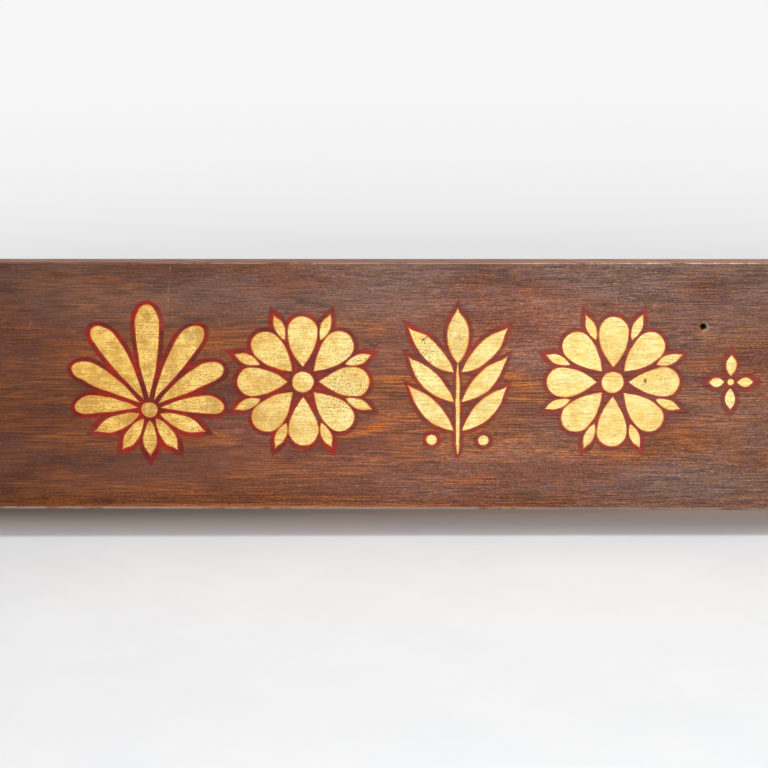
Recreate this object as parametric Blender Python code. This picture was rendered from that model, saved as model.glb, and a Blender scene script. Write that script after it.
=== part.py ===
"""Outfitter's sign: a long mahogany name-board, held flat by battens slot-screwed across its back.

Metres, +Z up. The origin is the middle of the plane that bears on the wall, the back of the battens.
The face of the board looks along -Y, and +X runs to the reader's right.
"""

import math

import bmesh
import bpy
from mathutils import Matrix, Vector

# Name-board: one plank. Its front arrises are eased by hand, and the back ones only dulled.
BOARD_LENGTH = 2.440
BOARD_HEIGHT = 0.254
BOARD_THICKNESS = 0.022
FRONT_ARRIS = 0.0016
FRONT_ARRIS_STEPS = 3
BACK_ARRIS = 0.0006

# Battens: each lies across the grain, and stops short of both long edges so that none shows from the front.
BATTEN_COUNT = 4
BATTEN_END_DISTANCE = 0.134
BATTEN_WIDTH = 0.070
BATTEN_THICKNESS = 0.019
BATTEN_END_GAP = 0.020
BATTEN_CHAMFER = 0.0035

# Batten screws: slotted and round-headed, on washers, sunk below the wall plane. The middle one of each
# batten is fixed, and the end ones stand in slots, along which the board shrinks and swells.
SCREW_END_DISTANCE = 0.025
SCREW_COVER = 0.0098
SHANK_RADIUS = 0.0021
THREAD_DEPTH = 0.0005
TIP_LENGTH = 0.004
HEAD_RADIUS = 0.0040
HEAD_HEIGHT = 0.0026
HEAD_COVER = 0.0016
HEAD_RINGS = 4
NICK_WIDTH = 0.0011
NICK_DEPTH = 0.0013
NICK_TURN = math.radians(37)
WASHER_RIM = 0.0010
WASHER_THICKNESS = 0.0010
SLOT_TRAVEL = 0.0040
SLOT_CLEARANCE = 0.0004
RECESS_CLEARANCE = 0.0010

# Wall fixings: an open countersunk hole through each inner batten, outside its middle, and an old hole
# beside each outer batten, stopped with a wooden pellet.
FIXING_BORE_RADIUS = 0.0025
COUNTERSINK_RADIUS = 0.0060
COUNTERSINK_DEPTH = 0.0036
OPEN_FIXING_OFFSET = 0.017
OPEN_FIXING_BELOW_TOP = 0.065
STOPPED_FIXING_OFFSET = 0.011
STOPPED_FIXING_ABOVE_BOTTOM = 0.0150
PELLET_RADIUS = 0.00475
PELLET_LENGTH = 0.0080

# Fits: pieces that touch keep SEAT_GAP, and cutters run past what they cut by OVERCUT.
SEAT_GAP = 0.0003
OVERCUT = 0.002
MERGE_DISTANCE = 1e-6
ROUND_STEPS = 20
SHARP_ANGLE = math.radians(35)

# Planes across Y, from the wall to the face.
WALL_PLANE = 0.0
BATTEN_FRONT = WALL_PLANE - BATTEN_THICKNESS
BOARD_BACK = BATTEN_FRONT - SEAT_GAP
BOARD_FACE = BOARD_BACK - BOARD_THICKNESS
HEAD_SEAT = WALL_PLANE - HEAD_COVER - HEAD_HEIGHT
WASHER_SEAT = HEAD_SEAT - SEAT_GAP - WASHER_THICKNESS
RECESS_FLOOR = WASHER_SEAT - SEAT_GAP
SCREW_POINT = BOARD_FACE + SCREW_COVER
PILOT_END = SCREW_POINT - SEAT_GAP
PELLET_SEAT = BOARD_FACE + PELLET_LENGTH + SEAT_GAP

# Lengths and radii that follow from those. The screw's plain shank ends where the board begins.
BATTEN_LENGTH = BOARD_HEIGHT - 2 * BATTEN_END_GAP
SCREW_LENGTH = HEAD_SEAT - SCREW_POINT
PLAIN_SHANK_LENGTH = HEAD_SEAT - BATTEN_FRONT
CORE_RADIUS = SHANK_RADIUS - THREAD_DEPTH
WASHER_RADIUS = HEAD_RADIUS + WASHER_RIM
SLOT_RADIUS = SHANK_RADIUS + SLOT_CLEARANCE
RECESS_RADIUS = WASHER_RADIUS + RECESS_CLEARANCE

# Places along X and Z. A batten's screws are listed with how far each can travel in its slot.
BATTEN_SPACING = (BOARD_LENGTH - 2 * BATTEN_END_DISTANCE) / (BATTEN_COUNT - 1)
BATTEN_X = [BATTEN_SPACING * (i - (BATTEN_COUNT - 1) / 2) for i in range(BATTEN_COUNT)]
END_SCREW_Z = BATTEN_LENGTH / 2 - SCREW_END_DISTANCE
SCREW_PLACES = [(-END_SCREW_Z, SLOT_TRAVEL), (0.0, 0.0), (END_SCREW_Z, SLOT_TRAVEL)]
OPEN_FIXING_X = min(x for x in BATTEN_X if x > 0) + OPEN_FIXING_OFFSET
OPEN_FIXING_Z = BOARD_HEIGHT / 2 - OPEN_FIXING_BELOW_TOP
STOPPED_FIXING_X = BATTEN_X[-1] - BATTEN_WIDTH / 2 - STOPPED_FIXING_OFFSET
STOPPED_FIXING_Z = STOPPED_FIXING_ABOVE_BOTTOM - BOARD_HEIGHT / 2


def clear_scene():
    for obj in list(bpy.data.objects):
        bpy.data.objects.remove(obj, do_unlink=True)


def finish(name, colour, roughness, metallic=0.0):
    """A material of one plain colour (linear RGB)."""
    material = bpy.data.materials.new(name)
    material.use_nodes = True
    shader = material.node_tree.nodes["Principled BSDF"]
    shader.inputs["Base Color"].default_value = (*colour, 1.0)
    shader.inputs["Roughness"].default_value = roughness
    shader.inputs["Metallic"].default_value = metallic
    return material


def mesh_from(bm, name, material=None):
    """Turns a bmesh into a mesh. One with no material is for a cutter."""
    bmesh.ops.recalc_face_normals(bm, faces=bm.faces)
    mesh = bpy.data.meshes.new(name)
    bm.to_mesh(mesh)
    bm.free()
    if material is not None:
        mesh.materials.append(material)
        mesh.shade_smooth()
        mesh.set_sharp_from_angle(angle=SHARP_ANGLE)
    return mesh


def place(name, mesh, location=(0, 0, 0), turn=0.0):
    """Stands a mesh at a place, turned about the line along Y."""
    obj = bpy.data.objects.new(name, mesh)
    obj.location = location
    obj.rotation_euler = (0, turn, 0)
    bpy.context.scene.collection.objects.link(obj)
    return obj


def cut(obj, *cutter_meshes):
    """Cuts meshes out of an object, in the object's own frame."""
    for mesh in cutter_meshes:
        cutter = place(mesh.name, mesh)
        cutter.parent = obj
        cutter.hide_render = True
        cutter.display_type = "WIRE"
        modifier = obj.modifiers.new(mesh.name, "BOOLEAN")
        modifier.operation = "DIFFERENCE"
        modifier.solver = "EXACT"
        modifier.object = cutter


def add_block(bm, size, centre):
    bmesh.ops.create_cube(bm, size=1.0, matrix=Matrix.Translation(centre) @ Matrix.Diagonal((*size, 1.0)))


def bevel_at(bm, y, width, steps):
    """Bevels the edges that lie in the plane across Y at that y."""
    edges = [edge for edge in bm.edges if all(abs(vert.co.y - y) < MERGE_DISTANCE for vert in edge.verts)]
    bmesh.ops.bevel(
        bm, geom=edges, offset=width, offset_type="OFFSET", segments=steps, profile=0.5, affect="EDGES"
    )


def add_turned(bm, profile, x=0.0, z=0.0):
    """Adds the solid that a profile of (radius, y) points makes, spun about the line along Y at x and z."""
    centre = Vector((x, 0, z))
    verts = [bm.verts.new(centre + Vector((radius, y, 0))) for radius, y in profile]
    edges = [bm.edges.new(ends) for ends in zip(verts, verts[1:])]
    bmesh.ops.spin(bm, geom=verts + edges, cent=centre, axis=(0, 1, 0), angle=math.tau, steps=ROUND_STEPS)
    bmesh.ops.remove_doubles(bm, verts=bm.verts, dist=MERGE_DISTANCE)


def add_bore(bm, radius, front, back, x=0.0, z=0.0):
    add_turned(bm, [(0, front), (radius, front), (radius, back), (0, back)], x, z)


def add_slot(bm, radius, travel, z, front, back):
    """Adds a slot with round ends, long along Z, between two planes across Y."""
    ring = []
    half = ROUND_STEPS // 2
    for end in (1, -1):
        for step in range(half + 1):
            angle = math.pi * step / half
            reach = travel + radius * math.sin(angle)
            ring.append((end * radius * math.cos(angle), front, z + end * reach))
    verts = [bm.verts.new(point) for point in ring]
    bmesh.ops.remove_doubles(bm, verts=verts, dist=MERGE_DISTANCE)
    face = bm.faces.new([vert for vert in verts if vert.is_valid])
    extruded = bmesh.ops.extrude_face_region(bm, geom=[face])["geom"]
    back_verts = [item for item in extruded if isinstance(item, bmesh.types.BMVert)]
    bmesh.ops.translate(bm, verts=back_verts, vec=(0, back - front, 0))


def board_cutter():
    """The holes in the board: screw pilots from the back, and the wall fixings right through."""
    bm = bmesh.new()
    behind = BOARD_BACK + OVERCUT
    before = BOARD_FACE - OVERCUT
    pilot = SHANK_RADIUS + SEAT_GAP
    pilot_hole = [(0, PILOT_END), (pilot, PILOT_END + pilot), (pilot, behind), (0, behind)]
    for x in BATTEN_X:
        for z, _ in SCREW_PLACES:
            add_turned(bm, pilot_hole, x, z)
    slope = (COUNTERSINK_RADIUS - FIXING_BORE_RADIUS) / COUNTERSINK_DEPTH
    open_hole = [
        (0, before),
        (COUNTERSINK_RADIUS + slope * OVERCUT, before),
        (FIXING_BORE_RADIUS, BOARD_FACE + COUNTERSINK_DEPTH),
        (FIXING_BORE_RADIUS, behind),
        (0, behind),
    ]
    stopped_hole = [
        (0, before),
        (PELLET_RADIUS + SEAT_GAP, before),
        (PELLET_RADIUS + SEAT_GAP, PELLET_SEAT),
        (FIXING_BORE_RADIUS, PELLET_SEAT),
        (FIXING_BORE_RADIUS, behind),
        (0, behind),
    ]
    for side in (-1, 1):
        add_turned(bm, open_hole, side * OPEN_FIXING_X, OPEN_FIXING_Z)
        add_turned(bm, stopped_hole, side * STOPPED_FIXING_X, STOPPED_FIXING_Z)
    return mesh_from(bm, "board_holes")


def name_board(material):
    bm = bmesh.new()
    add_block(bm, (BOARD_LENGTH, BOARD_THICKNESS, BOARD_HEIGHT), (0, (BOARD_FACE + BOARD_BACK) / 2, 0))
    bevel_at(bm, BOARD_FACE, FRONT_ARRIS, FRONT_ARRIS_STEPS)
    bevel_at(bm, BOARD_BACK, BACK_ARRIS, 1)
    cut(place("name_board", mesh_from(bm, "name_board", material)), board_cutter())


def batten_cutters(x):
    """The holes of the batten at x, for its screws' shanks and any wall fixing, and the recesses for the
    heads. Those of the middle screw are round, and those of the end screws are slots."""
    holes, recesses = bmesh.new(), bmesh.new()
    behind = WALL_PLANE + OVERCUT
    before = BATTEN_FRONT - OVERCUT
    for z, travel in SCREW_PLACES:
        add_slot(holes, SLOT_RADIUS, travel, z, before, behind)
        add_slot(recesses, RECESS_RADIUS, travel, z, RECESS_FLOOR, behind)
    for fixing_x in (-OPEN_FIXING_X, OPEN_FIXING_X):
        if abs(fixing_x - x) < BATTEN_WIDTH / 2:
            add_bore(holes, FIXING_BORE_RADIUS, before, behind, fixing_x - x, OPEN_FIXING_Z)
    return mesh_from(holes, "batten_holes"), mesh_from(recesses, "batten_recesses")


def batten(name, x, material):
    bm = bmesh.new()
    middle = (BATTEN_FRONT + WALL_PLANE) / 2
    add_block(bm, (BATTEN_WIDTH, BATTEN_THICKNESS, BATTEN_LENGTH), (0, middle, 0))
    bevel_at(bm, WALL_PLANE, BATTEN_CHAMFER, 1)
    cut(place(name, mesh_from(bm, name, material), (x, 0, 0)), *batten_cutters(x))


def screw_mesh(material):
    """A round-headed wood screw with the seat of its head at y = 0 and its point towards -Y."""
    bm = bmesh.new()
    profile = [
        (0, -SCREW_LENGTH),
        (CORE_RADIUS, TIP_LENGTH - SCREW_LENGTH),
        (CORE_RADIUS, -PLAIN_SHANK_LENGTH - THREAD_DEPTH),
        (SHANK_RADIUS, -PLAIN_SHANK_LENGTH),
        (SHANK_RADIUS, 0),
    ]
    for ring in range(HEAD_RINGS + 1):
        angle = math.pi / 2 * ring / HEAD_RINGS
        profile.append((HEAD_RADIUS * math.cos(angle), HEAD_HEIGHT * math.sin(angle)))
    add_turned(bm, profile)
    return mesh_from(bm, "screw", material)


def nick_mesh():
    """What the screwdriver's slot takes out of a head."""
    bm = bmesh.new()
    add_block(bm, (2 * HEAD_RADIUS + OVERCUT, 2 * NICK_DEPTH, NICK_WIDTH), (0, HEAD_HEIGHT, 0))
    return mesh_from(bm, "nick")


def washer_mesh(material):
    """A flat washer that lies on y = 0."""
    bm = bmesh.new()
    outline = [
        (SLOT_RADIUS, 0),
        (WASHER_RADIUS, 0),
        (WASHER_RADIUS, WASHER_THICKNESS),
        (SLOT_RADIUS, WASHER_THICKNESS),
        (SLOT_RADIUS, 0),
    ]
    add_turned(bm, outline)
    return mesh_from(bm, "washer", material)


def pellet_mesh(material):
    """A pellet, pared flush with the face at y = 0."""
    bm = bmesh.new()
    add_bore(bm, PELLET_RADIUS, 0, PELLET_LENGTH)
    return mesh_from(bm, "pellet", material)


def build():
    clear_scene()
    name_board(finish("mahogany", (0.242, 0.100, 0.063), 0.45))
    pellet = pellet_mesh(finish("pellet_wood", (0.190, 0.085, 0.055), 0.5))
    for name, side in (("left_pellet", -1), ("right_pellet", 1)):
        place(name, pellet, (side * STOPPED_FIXING_X, BOARD_FACE, STOPPED_FIXING_Z))
    deal = finish("deal", (0.330, 0.200, 0.105), 0.75)
    steel = finish("steel", (0.160, 0.140, 0.125), 0.5, metallic=0.85)
    screw = screw_mesh(steel)
    nick = nick_mesh()
    washer = washer_mesh(steel)
    turn = 0.0
    for b, x in enumerate(BATTEN_X, start=1):
        batten(f"batten_{b}", x, deal)
        for s, (z, _) in enumerate(SCREW_PLACES, start=1):
            turn += NICK_TURN
            place(f"batten_{b}_washer_{s}", washer, (x, WASHER_SEAT, z))
            cut(place(f"batten_{b}_screw_{s}", screw, (x, HEAD_SEAT, z), turn), nick)


build()
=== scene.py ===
import math

import bmesh
import bpy
from mathutils import Matrix, Vector, noise


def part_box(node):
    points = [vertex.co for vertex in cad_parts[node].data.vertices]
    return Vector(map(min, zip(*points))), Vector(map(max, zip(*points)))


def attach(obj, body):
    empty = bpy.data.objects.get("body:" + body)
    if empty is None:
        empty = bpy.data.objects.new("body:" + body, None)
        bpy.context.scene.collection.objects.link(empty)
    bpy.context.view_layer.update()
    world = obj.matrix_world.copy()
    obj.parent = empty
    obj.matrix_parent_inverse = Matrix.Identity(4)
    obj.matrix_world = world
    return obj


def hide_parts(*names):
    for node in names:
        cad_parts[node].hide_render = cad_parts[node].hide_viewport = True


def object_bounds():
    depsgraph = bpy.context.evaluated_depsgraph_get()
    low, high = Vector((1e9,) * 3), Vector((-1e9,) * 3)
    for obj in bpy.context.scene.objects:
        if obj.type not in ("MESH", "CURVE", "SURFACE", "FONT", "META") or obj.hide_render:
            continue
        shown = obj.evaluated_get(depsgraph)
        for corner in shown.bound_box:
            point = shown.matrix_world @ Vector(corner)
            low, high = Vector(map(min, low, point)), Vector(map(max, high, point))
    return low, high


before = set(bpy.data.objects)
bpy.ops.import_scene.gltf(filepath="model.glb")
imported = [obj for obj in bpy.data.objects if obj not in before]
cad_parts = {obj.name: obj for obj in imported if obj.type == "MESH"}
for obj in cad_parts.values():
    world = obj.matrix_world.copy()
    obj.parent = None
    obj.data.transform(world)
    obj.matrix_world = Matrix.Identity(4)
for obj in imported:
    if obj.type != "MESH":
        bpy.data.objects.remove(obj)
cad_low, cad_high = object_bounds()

# The name-board is one long mahogany plank, stained dark, planed by hand and worn pale along its arrises.
# It is sawn to length and bored from the face for its wall fixings and from the back for the batten screws.
BOARD_LOW, BOARD_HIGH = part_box("name_board")
BOARD_SIZE = BOARD_HIGH - BOARD_LOW
FACE_Y = BOARD_LOW.y
BACK_Y = BOARD_HIGH.y
HALF_HEIGHT = BOARD_HIGH.z
FRONT_ARRIS = 0.0016
BACK_ARRIS = 0.0006
BOARD_CUTS = 799
TOUCHING = 1e-5
CHIP_DEPTH = 0.0007
CHIPS_PER_METRE = 60
CHIP_SCARCITY = 0.25
CHIP_ROWS_APART = 7
FINE_CHIPS = 3.1
FINE_CHIP_SHARE = 0.6
FIXING_X = 0.379
FIXING_Z = 0.062
FIXING_BORE = 0.0025
FIXING_MOUTH = 0.0060
COUNTERSINK_DEPTH = 0.0036
MOUTH_WEAR = 0.0005
PELLET_SEAT_GAP = 0.0001
PILOT_RADIUS = 0.0024
PILOT_TIP = 0.0020
PILOT_END_GAP = 0.0003
ROUND = 48
CLEAR = 0.002
# Broad painted pools of light on the face: places painted lighter, as a warm sheen of light falling there.
PAINTED_LIGHT_POOLS = (
    {"middle": (-0.585, 0.057), "reach": (0.21, 0.058), "lift": 1.37},
    {"middle": (-0.765, -0.050), "reach": (0.14, 0.058), "lift": 1.27},
    {"middle": (-0.580, -0.084), "reach": (0.22, 0.038), "lift": 1.18},
)
SCRATCHES = (
    {"top": (-0.9074, 0.127), "bottom": (-0.9115, 0.079), "width": 0.0007},
    {"top": (-1.047, 0.070), "bottom": (-1.055, 0.052), "width": 0.0005},
    {"top": (-0.634, 0.020), "bottom": (-0.629, -0.004), "width": 0.0005},
    {"top": (0.212, 0.121), "bottom": (0.219, 0.066), "width": 0.0006},
    {"top": (0.865, 0.040), "bottom": (0.851, -0.030), "width": 0.0006},
)


def deselect():
    bpy.ops.object.select_all(action="DESELECT")


def make_active(obj):
    deselect()
    obj.select_set(True)
    bpy.context.view_layer.objects.active = obj


def name_piece(name):
    """Names the active object, puts its place into its mesh and returns it."""
    obj = bpy.context.active_object
    obj.name = name
    obj.data.name = name
    bpy.ops.object.transform_apply(location=True, rotation=True, scale=True)
    return obj


def select_edges(obj, wanted):
    """In edit mode, selects the edges whose two ends both pass the test."""
    bpy.ops.mesh.select_mode(type="EDGE")
    bpy.ops.mesh.select_all(action="DESELECT")
    bm = bmesh.from_edit_mesh(obj.data)
    for edge in bm.edges:
        edge.select_set(all(wanted(vert.co) for vert in edge.verts))
    bmesh.update_edit_mesh(obj.data)


def turned(name, profile, x, z):
    """Turns a solid about the line along Y at x and z: a disc, extruded and resized from ring to ring of the
    profile, which lists (radius, y) from the front to the back."""
    deselect()
    (radius, y), *rings = profile
    bpy.ops.mesh.primitive_circle_add(
        vertices=ROUND, radius=radius, fill_type="NGON", location=(x, y, z), rotation=(math.pi / 2, 0, 0)
    )
    obj = name_piece(name)
    bpy.ops.object.mode_set(mode="EDIT")
    bpy.ops.mesh.select_all(action="SELECT")
    for next_radius, next_y in rings:
        bpy.ops.mesh.extrude_region_move(TRANSFORM_OT_translate={"value": (0, next_y - y, 0)})
        share = next_radius / radius
        bpy.ops.transform.resize(value=(share, 1, share), center_override=(x, next_y, z))
        radius, y = next_radius, next_y
    bpy.ops.mesh.select_all(action="SELECT")
    bpy.ops.mesh.normals_make_consistent(inside=False)
    bpy.ops.object.mode_set(mode="OBJECT")
    return obj


def join(name, parts):
    make_active(parts[0])
    for part in parts:
        part.select_set(True)
    bpy.ops.object.join()
    return name_piece(name)


def apply_boolean(obj, operand, operation, merge_own=False):
    """Cuts a solid with another or merges the two, and leaves the first one active."""
    modifier = obj.modifiers.new(operation.lower(), "BOOLEAN")
    modifier.operation = operation
    modifier.solver = "EXACT"
    modifier.use_self = merge_own
    modifier.object = operand
    make_active(obj)
    bpy.ops.object.modifier_apply(modifier=modifier.name)
    bpy.data.objects.remove(operand, do_unlink=True)


def board_cutter():
    """The holes of the board, as solids: the open fixings, the pellets' seats and the screws' pilots."""
    cutters = []
    slope = (FIXING_MOUTH - FIXING_BORE) / COUNTERSINK_DEPTH
    for side in (-1, 1):
        profile = [
            (FIXING_MOUTH + MOUTH_WEAR + CLEAR, FACE_Y - CLEAR),
            (FIXING_MOUTH + MOUTH_WEAR, FACE_Y),
            (FIXING_MOUTH - slope * MOUTH_WEAR, FACE_Y + MOUTH_WEAR),
            (FIXING_BORE, FACE_Y + COUNTERSINK_DEPTH),
            (FIXING_BORE, BACK_Y + CLEAR),
        ]
        cutters.append(turned("cutter", profile, side * FIXING_X, FIXING_Z))
    screws = [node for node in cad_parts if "_screw_" in node]
    for node in ("left_pellet", "right_pellet", *screws):
        low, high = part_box(node)
        if node in screws:
            tip = [(PILOT_RADIUS / 4, low.y - PILOT_END_GAP), (PILOT_RADIUS, low.y + PILOT_TIP)]
            profile = [*tip, (PILOT_RADIUS, BACK_Y + CLEAR)]
        else:
            radius = (high.x - low.x) / 2 + PELLET_SEAT_GAP
            seat = [(radius, FACE_Y - CLEAR), (radius, high.y)]
            profile = [*seat, (FIXING_BORE, high.y), (FIXING_BORE, BACK_Y + CLEAR)]
        cutters.append(turned("cutter", profile, (low.x + high.x) / 2, (low.z + high.z) / 2))
    return join("board_cutter", cutters)


def chip_arrises(obj):
    """Knocks small, uneven dents out of the two long front arrises."""
    for vert in obj.data.vertices:
        near_edge = HALF_HEIGHT - abs(vert.co.z) < FRONT_ARRIS + TOUCHING
        if near_edge and vert.co.y < FACE_Y + FRONT_ARRIS + TOUCHING:
            side = math.copysign(1, vert.co.z)
            place = Vector((vert.co.x * CHIPS_PER_METRE, side * CHIP_ROWS_APART, 0))
            knocks = noise.noise(place) + FINE_CHIP_SHARE * noise.noise(place * FINE_CHIPS)
            depth = min(CHIP_DEPTH, max(0, knocks - CHIP_SCARCITY) * 2 * CHIP_DEPTH)
            vert.co += Vector((0, depth, -side * depth))


def make_board():
    """Saws the plank to size, rounds its arrises, knocks them about and bores the holes."""
    deselect()
    bpy.ops.mesh.primitive_cube_add(size=1, location=(BOARD_LOW + BOARD_HIGH) / 2)
    bpy.context.active_object.scale = BOARD_SIZE
    board = name_piece("mahogany_board")
    bpy.ops.object.mode_set(mode="EDIT")
    bm = bmesh.from_edit_mesh(board.data)
    bpy.ops.mesh.select_mode(type="EDGE")
    for edge in bm.edges:
        edge.select_set(abs(edge.verts[0].co.x - edge.verts[1].co.x) > BOARD_SIZE.x / 2)
    bmesh.update_edit_mesh(board.data)
    bpy.ops.mesh.subdivide(number_cuts=BOARD_CUTS)

    def on_rim(co):
        return abs(co.z) > HALF_HEIGHT - TOUCHING or abs(co.x) > BOARD_HIGH.x - TOUCHING

    select_edges(board, lambda co: co.y < FACE_Y + TOUCHING and on_rim(co))
    bpy.ops.mesh.bevel(offset=FRONT_ARRIS, offset_type="OFFSET", segments=4, affect="EDGES")
    select_edges(board, lambda co: co.y > BACK_Y - TOUCHING and on_rim(co))
    bpy.ops.mesh.bevel(offset=BACK_ARRIS, offset_type="OFFSET", segments=2, affect="EDGES")
    bpy.ops.object.mode_set(mode="OBJECT")
    chip_arrises(board)
    apply_boolean(board, board_cutter(), "DIFFERENCE")
    bpy.ops.object.shade_smooth_by_angle(angle=math.radians(30))
    return board


def connect(tree, socket, value):
    """Links another node's output to a socket, or sets the socket to a number or a colour."""
    if isinstance(value, bpy.types.NodeSocket):
        tree.links.new(value, socket)
    elif socket.type == "RGBA":
        socket.default_value = (*value, 1)
    else:
        socket.default_value = value


def feed(tree, node, **inputs):
    """Feeds a node's named inputs."""
    for name, value in inputs.items():
        connect(tree, node.inputs[name.replace("_", " ")], value)


def add(tree, kind, settings=None, **inputs):
    """Adds a shader node, makes its choices and feeds its inputs."""
    made = tree.nodes.new("ShaderNode" + kind)
    for name, choice in (settings or {}).items():
        setattr(made, name, choice)
    feed(tree, made, **inputs)
    return made


def new_finish(name):
    """A new material, with its node tree, its shader and its place on the object, in metres."""
    material = bpy.data.materials.new(name)
    material.use_nodes = True
    tree = material.node_tree
    place = add(tree, "TexCoord").outputs["Object"]
    return material, tree, tree.nodes["Principled BSDF"], place


def surface(tree, shader, relief, strength, depth, **inputs):
    """Feeds a finish's shader and lays the finest relief on the surface."""
    bump = add(tree, "Bump", Height=relief, Strength=strength, Distance=depth)
    feed(tree, shader, Normal=bump.outputs[0], **inputs)


def calculate(tree, operation, *values, kind="Math"):
    """One sum of the material's arithmetic, on numbers or, with the kind VectorMath, on places."""
    made = add(tree, kind, {"operation": operation})
    for socket, value in zip(made.inputs, values):
        connect(tree, socket, value)
    return made.outputs[0]


def times(tree, product, *factors):
    """The product of several values."""
    for factor in factors:
        product = calculate(tree, "MULTIPLY", product, factor)
    return product


def remainder(tree, share):
    """What a share leaves of the whole."""
    return calculate(tree, "SUBTRACT", 1.0, share)


def swing(tree, value):
    """How far a noise is above or below its middle."""
    return calculate(tree, "SUBTRACT", value, 0.5)


def fade(tree, value, start, end, low=0.0, high=1.0):
    """Goes smoothly from low to high as value goes from start to end, which may fall as well as rise."""
    if start > end:
        start, end, low, high = end, start, high, low
    made = add(
        tree, "MapRange", {"interpolation_type": "SMOOTHSTEP"},
        Value=value, From_Min=start, From_Max=end, To_Min=low, To_Max=high,
    )
    return made.outputs["Result"]


def blend(tree, amount, below, above, mode="MIX"):
    """Lays one colour over another."""
    made = add(tree, "Mix", {"data_type": "RGBA", "blend_type": mode})
    for socket, value in zip((made.inputs[0], made.inputs[6], made.inputs[7]), (amount, below, above)):
        connect(tree, socket, value)
    return made.outputs[2]


def dapple(tree, place, scale, detail, roughness=0.5, distortion=0.0):
    """Even noise, with this many features in a metre every way."""
    made = add(
        tree, "TexNoise", Vector=place, Scale=scale, Detail=detail, Roughness=roughness, Distortion=distortion
    )
    return made.outputs["Fac"]


def streaks(tree, place, along, across, detail=4.0, roughness=0.55, shift=0.0):
    """Noise drawn out along the board, with this many features in a metre along it and across it."""
    mapped = add(tree, "Mapping", Vector=place, Scale=(along, across, across), Location=(shift, shift, shift))
    return dapple(tree, mapped.outputs[0], 1.0, detail, roughness)


def waved(tree, place):
    """The board's own grain, which drifts a few millimetres up and down along it."""
    slow = add(tree, "Mapping", Vector=place, Scale=(2.2, 3.0, 5.0))
    drift = add(tree, "TexNoise", Vector=slow.outputs[0], Scale=1.0, Detail=2.0).outputs["Color"]
    centred = calculate(tree, "SUBTRACT", drift, (0.5, 0.5, 0.5), kind="VectorMath")
    scaled = calculate(tree, "MULTIPLY", centred, (0, 0.006, 0.009), kind="VectorMath")
    return calculate(tree, "ADD", place, scaled, kind="VectorMath")


def fibres(tree, grain):
    """The long thin lines of the wood's fibres, from 0 to 1."""
    return streaks(tree, grain, 22, 1500, detail=1.0, roughness=0.5, shift=3.0)


def ripple(tree, grain):
    """The fine light and dark of the grain, from 0 to 1: fibres, shorter broken strokes and speckle."""
    broken = streaks(tree, grain, 100, 1300, detail=1.0, shift=7.0)
    speckle = streaks(tree, grain, 340, 1200, detail=0.0, shift=47.0)
    finer = calculate(tree, "ADD", times(tree, broken, 0.26), times(tree, speckle, 0.29))
    return calculate(tree, "ADD", times(tree, fibres(tree, grain), 0.45), finer)


def pores(tree, grain):
    """Open pores: dark strokes of two lengths, where this is 1."""
    long_ones = fade(tree, streaks(tree, grain, 20, 1700, detail=0.0), 0.62, 0.68)
    short_ones = fade(tree, streaks(tree, grain, 60, 1700, detail=0.0, shift=59.0), 0.62, 0.68)
    return calculate(tree, "MAXIMUM", long_ones, short_ones)


def stained(tree, grain, x, from_middle):
    """Red-brown stain in soft clouds, with warmer streaks along the grain. The streaks are calmer above and
    below the middle and at both ends of what the photograph shows."""
    clouds = fade(tree, streaks(tree, grain, 6, 20, roughness=0.5), 0.36, 0.64)
    colour = blend(tree, clouds, (0.131, 0.043, 0.024), (0.201, 0.068, 0.037))
    calmer = times(tree, fade(tree, from_middle, 0.054, 0.088, high=0.62), fade(tree, x, -0.92, -0.78))
    warm = times(
        tree,
        fade(tree, streaks(tree, grain, 8, 34, shift=11.0), 0.44, 0.60, high=0.95),
        fade(tree, x, -1.10, -0.90, low=0.50),
        fade(tree, x, -0.62, -0.42, low=1.0, high=0.75),
        remainder(tree, calmer),
        fade(tree, fibres(tree, grain), 0.46, 0.60, low=0.22),
    )
    return blend(tree, warm, colour, (0.420, 0.125, 0.022))


def dried(tree, grain, x, z, colour):
    """Polish gone dry and milky along the top and to the right, with a few dark blotches."""
    above = times(tree, fade(tree, z, 0.040, 0.112, low=0.10, high=0.54), fade(tree, x, -1.1, -0.6, low=0.70))
    aside = fade(tree, x, -0.86, -0.40, high=0.36)
    aside = times(tree, aside, fade(tree, z, -0.06, -0.11, low=1.0, high=1.7))
    bloom = fade(tree, streaks(tree, grain, 6, 20, roughness=0.5, shift=17.0), 0.36, 0.62, low=0.35, high=1.6)
    dry = times(tree, calculate(tree, "MAXIMUM", above, aside), bloom)
    colour = blend(tree, dry, colour, (0.214, 0.127, 0.097))
    blotches = streaks(tree, grain, 17, 62, detail=3.0, roughness=0.5, shift=29.0)
    return blend(tree, fade(tree, blotches, 0.58, 0.76, high=0.60), colour, (0.078, 0.044, 0.036))


def warm_edge_and_bounce_highlight(tree, grain, x, z, rippled, colour):
    """The lower edge, where the stain has stayed warm, and a thin painted highlight beside its arris,
    standing for light bounced up from the floor.
    """
    patches = fade(tree, streaks(tree, grain, 7, 40, detail=3.0, shift=53.0), 0.36, 0.58, low=0.45, high=0.95)
    edge = times(
        tree, fade(tree, z, -HALF_HEIGHT + 0.024, -HALF_HEIGHT + 0.006), patches,
        fade(tree, x, -0.88, -0.62, low=1.0, high=0.30),
    )
    edge_colour = blend(tree, fade(tree, rippled, 0.42, 0.58), (0.130, 0.036, 0.012), (0.295, 0.081, 0.015))
    # Painted highlight: a thin orange line beside the lower arris, as light bounced up from the floor.
    glow = times(
        tree, fade(tree, z, -HALF_HEIGHT + 0.0075, -HALF_HEIGHT + 0.0040), patches,
        fade(tree, x, -1.05, -0.88, low=0.30, high=0.75), fade(tree, x, -0.74, -0.58, low=1.0, high=0.0),
    )
    return blend(tree, glow, blend(tree, edge, colour, edge_colour), (0.480, 0.165, 0.060))


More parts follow.
